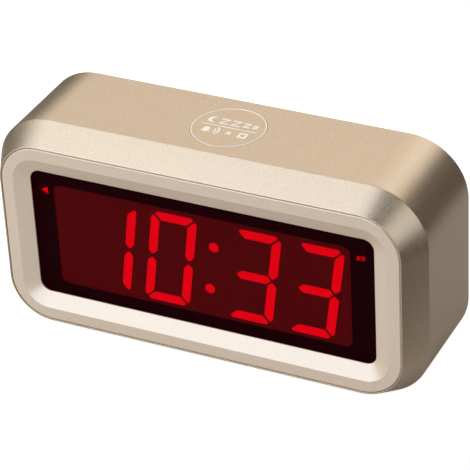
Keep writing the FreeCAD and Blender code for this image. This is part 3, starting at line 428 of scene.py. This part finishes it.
def new_piece(name, mesh, body):
    piece = bpy.data.objects.new(name, mesh)
    bpy.context.scene.collection.objects.link(piece)
    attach(piece, body)
    return piece


def printed(name, loops, place, thickness, mat, body):
    """A thin flat piece from outlines, where one inside another is a hole."""
    curve = bpy.data.curves.new(name, "CURVE")
    curve.dimensions = "2D"
    curve.fill_mode = "BOTH"
    curve.extrude = thickness / 2
    for loop in loops:
        spline = curve.splines.new("POLY")
        spline.points.add(len(loop) - 1)
        spline.use_cyclic_u = True
        for point, (x, y) in zip(spline.points, loop):
            point.co = (x * MM, y * MM, 0, 1)
    flat = bpy.data.objects.new(name + "_outline", curve)
    bpy.context.scene.collection.objects.link(flat)
    mesh = bpy.data.meshes.new_from_object(flat)
    bpy.data.objects.remove(flat)
    mesh.transform(place)
    mesh.materials.clear()
    mesh.materials.append(mat)
    new_piece(name, mesh, body)


def mesh_piece(name, vertices, faces, mat, body, slot):
    """A round piece from its vertices and faces, smooth but for its edges."""
    mesh = bpy.data.meshes.new(name)
    mesh.from_pydata(vertices, [], faces)
    mesh.materials.append(mat)
    tidy = bmesh.new()
    tidy.from_mesh(mesh)
    bmesh.ops.recalc_face_normals(tidy, faces=tidy.faces)
    tidy.to_mesh(mesh)
    tidy.free()
    mesh.shade_smooth()
    mesh.set_sharp_from_angle(angle=SHARP_EDGE)
    return new_piece(name, mesh, body)


# ---------------------------------------------------------------- snooze key print

# In millimetres from the middle of the key. Its box takes in the flange under the roof.
KEY_LOW, KEY_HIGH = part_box("snooze_button")
KEY_FLANGE = 1.0
KEY_RADIUS = (KEY_HIGH.x - KEY_LOW.x) / 2 / MM - KEY_FLANGE
RING_INSET = 0.02
RING_WIDTH = 0.34
DIVIDER_HALF_LENGTH = 8.2
DIVIDER_HALF_WIDTH = 0.15
KEY_ROW = 2.7  # from the divider to the middle of each row
KEY_STROKE = 0.5
MOON_X, MOON_RADIUS = -5.9, 1.5
SLEEP_MARKS = ((-2.4, 2.7), (1.1, 2.7), (4.3, 2.2), (7.0, 1.7))  # place along the row, size
BELL_X, BELL_SIZE = -5.6, 3.1
WAVE_X, WAVE_RADII = -4.1, (1.3, 2.3)
CROSS_X, CROSS_SIZE = 1.2, 2.5
SQUARE_X, SQUARE_HALVES = 5.4, (1.3, 0.7)


def snooze_print():
    """A ring, and two rows of signs for sleep and stop with a line between them."""
    edge = KEY_RADIUS - RING_INSET
    sleep = [crescent(MOON_X, KEY_ROW, MOON_RADIUS)]
    sleep += [sleep_mark(x, KEY_ROW, size, KEY_STROKE) for x, size in SLEEP_MARKS]
    stop = bell(BELL_X, -KEY_ROW, BELL_SIZE)
    for radius in WAVE_RADII:
        stop += wave(WAVE_X, -KEY_ROW, radius, KEY_STROKE)
    stop += cross(CROSS_X, -KEY_ROW, CROSS_SIZE, KEY_STROKE)
    stop += [rectangle(SQUARE_X, -KEY_ROW, half, half) for half in SQUARE_HALVES]
    prints = {
        "snooze_ring": [circle(0, 0, edge, 120), circle(0, 0, edge - RING_WIDTH, 120)],
        "snooze_divider": [rectangle(0, 0, DIVIDER_HALF_LENGTH, DIVIDER_HALF_WIDTH)],
        "snooze_sleep_marks": sleep,
        "snooze_stop_marks": stop,
    }
    key = middle("snooze_button")
    place = Matrix.Translation((key.x, key.y, ROOF + PRINT_THICK / 2))
    for name, loops in prints.items():
        printed(name, loops, place, PRINT_THICK, CREAM, "snooze_button")


snooze_print()


# ---------------------------------------------------------------- indicators beside the digits

LIGHT_LOW, LIGHT_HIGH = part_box("indicator_lights")
LIGHT_RADIUS = (LIGHT_HIGH.z - LIGHT_LOW.z) / 2
LIGHT_Z = (LIGHT_LOW.z + LIGHT_HIGH.z) / 2
SIGN_DEPTH = MASK_BACK + 0.03 * MM
SIGN_DROP = 0.4 * MM
SHUTTER_DEPTH = MASK_BACK + 0.08 * MM
SHUTTER_THICK = 0.04 * MM

# In millimetres from the middle of each window.
SHUTTER_RADIUS = 1.85
ARROW = [(-1.15, 0.0), (0.95, 1.15), (0.95, -1.15)]
Z_SIZE = 1.15
Z_STROKE = 0.27
Z_PLACES = ((-0.42, -0.50), (0.98, -0.30))


def front_place(x, depth, z):
    """The upright plane that faces the viewer."""
    return Matrix.Translation((x, depth, z)) @ UPRIGHT


def indicators():
    """A lit sign in each small window of the mask, in front of a shutter that darkens the window."""
    signs = {
        "alarm_sign": (LIGHT_LOW.x + LIGHT_RADIUS, [ARROW]),
        "sleep_sign": (LIGHT_HIGH.x - LIGHT_RADIUS,
                       [sleep_mark(x, y, Z_SIZE, Z_STROKE) for x, y in Z_PLACES]),
    }
    for name, (x, loops) in signs.items():
        printed(name + "_shutter", [circle(0, 0, SHUTTER_RADIUS)], front_place(x, SHUTTER_DEPTH, LIGHT_Z),
                SHUTTER_THICK, MATERIALS["mask_print"], "root")
        printed(name, loops, front_place(x, SIGN_DEPTH, LIGHT_Z - SIGN_DROP),
                PRINT_THICK, MATERIALS["lit_diffuser"], "root")


indicators()


# ---------------------------------------------------------------- marks on the back

MARK_LIFT = 0.02 * MM  # from the cover's face to the middle of the print
MARK_ABOVE = 5.0 * MM
ALARM_HALF_TRAVEL = 1.0 * MM
BRIGHTNESS_HALF_TRAVEL = 1.5 * MM


def back_marks():
    """A sign above each key, and above the middle of each slide's travel."""
    marks = {
        "time_key": ("time_key_mark", clock_mark(1.4), 0.0),
        "alarm_key": ("alarm_key_mark", bell(0, 0, 2.8), 0.0),
        "hour_key": ("hour_key_mark", arrow_up(0.5, 1.8) + arrow_up(-0.9, 1.8), 0.0),
        "minute_key": ("minute_key_mark", arrow_up(0, 1.8), 0.0),
        "alarm_slide": ("alarm_slide_mark", bell(0, 0, 2.6), ALARM_HALF_TRAVEL),
        "brightness_slide": ("brightness_mark", sun_mark(0.8), BRIGHTNESS_HALF_TRAVEL),
    }
    for node, (name, loops, aside) in marks.items():
        spot = middle(node)
        place = Matrix.Translation((spot.x + aside, COVER_FACE + MARK_LIFT, spot.z + MARK_ABOVE))
        printed(name, loops, place @ ABOUT_FACE @ UPRIGHT, PRINT_THICK, PALE, "root")


back_marks()


# ---------------------------------------------------------------- battery springs and cell trim

CELLS_LOW, CELLS_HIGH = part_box("aa_cells")
CELL_RADIUS = (CELLS_HIGH.y - CELLS_LOW.y) / 2
CELL_DEPTH = middle("aa_cells").y
SPRING_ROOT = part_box("battery_springs")[0].x
SPRING_LENGTH = 5.0 * MM
SPRING_WIRE = 0.4 * MM
SPRING_TURNS = 5
FLAT_SHARE = 0.16  # of the spring's wire, at each end
CELL_LENGTH = -SPRING_ROOT - SPRING_LENGTH / 2
CELLS_IN_ROW = 2
BAND_START = 0.70  # share of a cell's length, from its negative end
NUB = 1.2 * MM
NUB_RADIUS = 2.7 * MM
SHOULDER = 0.5 * MM
PLATE_INSET = 1.6 * MM
SKIN = 0.05 * MM
ROWS = ((1, CELLS_LOW.z + CELL_RADIUS), (-1, CELLS_HIGH.z - CELL_RADIUS))  # way the cells point, height


def by_axis(row, along, radius, angle):
    """A point beside the axis of a row, which is (the way its cells point, its height)."""
    way, z = row
    return (way * along, CELL_DEPTH + radius * math.cos(angle), z + radius * math.sin(angle))


def skin(rings, closed=False):
    """Vertices and faces over equal rings of points: a tube with flat ends, or a closed loop."""
    sides = len(rings[0])
    vertices = [point for ring in rings for point in ring]
    faces = []
    for k in range(len(rings) if closed else len(rings) - 1):
        here = k * sides
        there = (k + 1) % len(rings) * sides
        for i in range(sides):
            j = (i + 1) % sides
            faces.append((here + i, here + j, there + j, there + i))
    if not closed:
        faces += [tuple(range(sides))[::-1], tuple(range(len(vertices) - sides, len(vertices)))]
    return vertices, faces


def merge(parts):
    """Several (vertices, faces) as one."""
    vertices, faces = [], []
    for more, skins in parts:
        start = len(vertices)
        vertices += more
        faces += [tuple(i + start for i in face) for face in skins]
    return vertices, faces


def cone_spring(row, steps=20, wire_sides=8):
    """A conical contact spring, with a wide flat turn on the plate and a narrow one on the cell."""
    wide, narrow = CELL_RADIUS * 0.70, CELL_RADIUS * 0.42
    count = SPRING_TURNS * steps
    rings = []
    for k in range(count + 1):
        u = k / count
        climb = min(max((u - FLAT_SHARE) / (1 - 2 * FLAT_SHARE), 0.0), 1.0)
        along = SPRING_ROOT + SPRING_WIRE + (SPRING_LENGTH - 2 * SPRING_WIRE) * climb
        radius = wide + (narrow - wide) * climb
        angle = 2 * math.pi * SPRING_TURNS * u
        section = circle(radius, along, SPRING_WIRE, wire_sides)
        rings.append([by_axis(row, x, reach, angle) for reach, x in section])
    return skin(rings)


def washer(row, start, end, hole, radius, sides=48):
    """A ring of square section about the axis of a row."""
    profile = ((start, hole), (start, radius), (end, radius), (end, hole))
    rings = []
    for i in range(sides):
        angle = 2 * math.pi * i / sides
        rings.append([by_axis(row, along, reach, angle) for along, reach in profile])
    return skin(rings, closed=True)


def springs():
    piece = mesh_piece("contact_springs", *merge([cone_spring(row) for row in ROWS]),
                       MATERIALS["contact_metal"], "root", "contact_metal")
    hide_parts("battery_springs")


def cell_trim():
    """The copper band, the positive button and the negative plate of each cell."""
    bands, caps = [], []
    for row in ROWS:
        for i in range(CELLS_IN_ROW):
            tail = i * CELL_LENGTH - (CELL_LENGTH - SPRING_LENGTH / 2)
            end = tail + CELL_LENGTH
            bands.append(washer(row, tail + BAND_START * CELL_LENGTH, end - NUB - SHOULDER,
                                CELL_RADIUS - SKIN, CELL_RADIUS + SKIN))
            caps.append(washer(row, end - NUB - SKIN, end + SKIN, SKIN, NUB_RADIUS + SKIN, 32))
            caps.append(washer(row, tail - SKIN, tail + SKIN, SKIN, CELL_RADIUS - PLATE_INSET, 32))
    mesh_piece("cell_bands", *merge(bands), COPPER, "root", "cell_jacket")
    mesh_piece("cell_caps", *merge(caps), MATERIALS["contact_metal"], "root", "contact_metal")


springs()
cell_trim()


# ---------------------------------------------------------------- floor, lights and camera

# The glow of the floor, for the lens and for mirror images, where 1 is white.
SEEN_FLOOR = 0.90
MIRRORED_FLOOR = 0.02
FLOOR_COLOUR = (0.45, 0.42, 0.39, 1.0)

# A square, cut back to CUT_X on the right in front, and from there slanting out to its right side.
FLOOR_HALF = 0.18
CUT_X = 0.083
CUT_START_Y = -0.02
CUT_END_Y = 0.045
FLOOR_OUTLINE = [(-FLOOR_HALF, -FLOOR_HALF), (CUT_X, -FLOOR_HALF), (CUT_X, CUT_START_Y),
                 (FLOOR_HALF, CUT_END_Y), (FLOOR_HALF, FLOOR_HALF), (-FLOOR_HALF, FLOOR_HALF)]

# What light and mirror images get from the surroundings.
ROOM_TINT = (1.0, 0.88, 0.70)
ROOM_LEVEL = 0.08


def seen(owner, path):
    """1 for what the lens sees, also through clear things, and 0 for light and mirror images."""
    return arithmetic(owner, "MAXIMUM", path["Is Camera Ray"], path["Is Transmission Ray"])


def stage_material():
    """A mid-grey floor that glows for the lens, so that it looks white but where the clock shades it."""
    mat, shader = new_material("white_floor", FLOOR_COLOUR, roughness=0.9)
    set_inputs(shader, Specular_IOR_Level=0.0, Emission_Color=grey(1.0))
    path = add(mat, "ShaderNodeLightPath").outputs
    mirrored = arithmetic(mat, "MULTIPLY", path["Is Glossy Ray"], MIRRORED_FLOOR)
    glow = arithmetic(mat, "MULTIPLY_ADD", seen(mat, path), SEEN_FLOOR, mirrored)
    link(mat, glow, shader.inputs["Emission Strength"])
    return mat


def floor():
    """It ends close by on the right in front, so that the band there mirrors the dark room."""
    mesh = bpy.data.meshes.new("floor")
    mesh.from_pydata([(x, y, 0) for x, y in FLOOR_OUTLINE], [], [tuple(range(len(FLOOR_OUTLINE)))])
    mesh.materials.append(stage_material())
    piece = bpy.data.objects.new("floor", mesh)
    bpy.context.scene.collection.objects.link(piece)


def world():
    """A dim warm room, which the lens sees as plain white."""
    room = bpy.data.worlds.new("studio")
    room.use_nodes = True
    path = add(room, "ShaderNodeLightPath").outputs
    dim, white = shade(ROOM_TINT, ROOM_LEVEL), grey(1.0)
    glow = ramp(room, seen(room, path), dim, white, low_at=0.0, high_at=1.0)
    link(room, glow, room.node_tree.nodes["Background"].inputs["Color"])
    bpy.context.scene.world = room


AIM = (0.0, 0.0, 0.035)
SKY = (0.72, 0.83, 1.0)
COOL = (0.86, 0.94, 1.0)
WARM = (1.0, 0.95, 0.90)


def softbox(name, place, width, height, power, tint):
    """A soft lamp of a given size in metres and power in watts, turned to the clock."""
    light = bpy.data.lights.new(name, "AREA")
    light.shape = "RECTANGLE"
    light.size = width
    light.size_y = height
    light.energy = power
    light.color = tint
    lamp = bpy.data.objects.new(name, light)
    lamp.location = place
    lamp.rotation_euler = (Vector(place) - Vector(AIM)).to_track_quat("Z", "Y").to_euler()
    bpy.context.scene.collection.objects.link(lamp)


def lights():
    softbox("overhead", (-0.25, -0.05, 1.00), width=0.70, height=0.70, power=2.55, tint=SKY)
    softbox("front_left", (-0.48, -0.85, 0.62), width=2.90, height=2.00, power=31.8, tint=COOL)
    softbox("back_wide", (-0.20, 0.92, 0.74), width=1.50, height=0.50, power=3.4, tint=WARM)
    softbox("back_right", (0.14, 0.90, 0.72), width=0.40, height=0.50, power=0.45, tint=COOL)
    softbox("right", (0.93, -0.15, 0.52), width=0.50, height=0.80, power=1.95, tint=COOL)


CAMERA_PLACE = (0.28310, -0.54446, 0.42055)
CAMERA_AZIMUTH = 27.261
CAMERA_ELEVATION = 32.212
CAMERA_ROLL = -3.223
CAMERA_LENS = 198.9
SENSOR_WIDTH = 36.0


def camera():
    """The photograph's camera, from its place, its two angles and its roll in degrees."""
    data = bpy.data.cameras.new("camera")
    data.lens = CAMERA_LENS
    data.sensor_width = SENSOR_WIDTH
    azimuth, elevation, roll = (math.radians(a) for a in (CAMERA_AZIMUTH, CAMERA_ELEVATION, CAMERA_ROLL))
    back = Vector((math.sin(azimuth) * math.cos(elevation), -math.cos(azimuth) * math.cos(elevation),
                   math.sin(elevation)))
    right = Vector((math.cos(azimuth), math.sin(azimuth), 0))
    up = back.cross(right)
    tilted_right = right * math.cos(roll) + up * math.sin(roll)
    tilted_up = up * math.cos(roll) - right * math.sin(roll)
    turn = Matrix((tilted_right, tilted_up, back)).transposed().to_4x4()
    piece = bpy.data.objects.new("camera", data)
    piece.matrix_world = Matrix.Translation(CAMERA_PLACE) @ turn
    bpy.context.scene.collection.objects.link(piece)
    bpy.context.scene.camera = piece


floor()
world()
lights()
camera()
bpy.context.scene.view_settings.view_transform = "Standard"
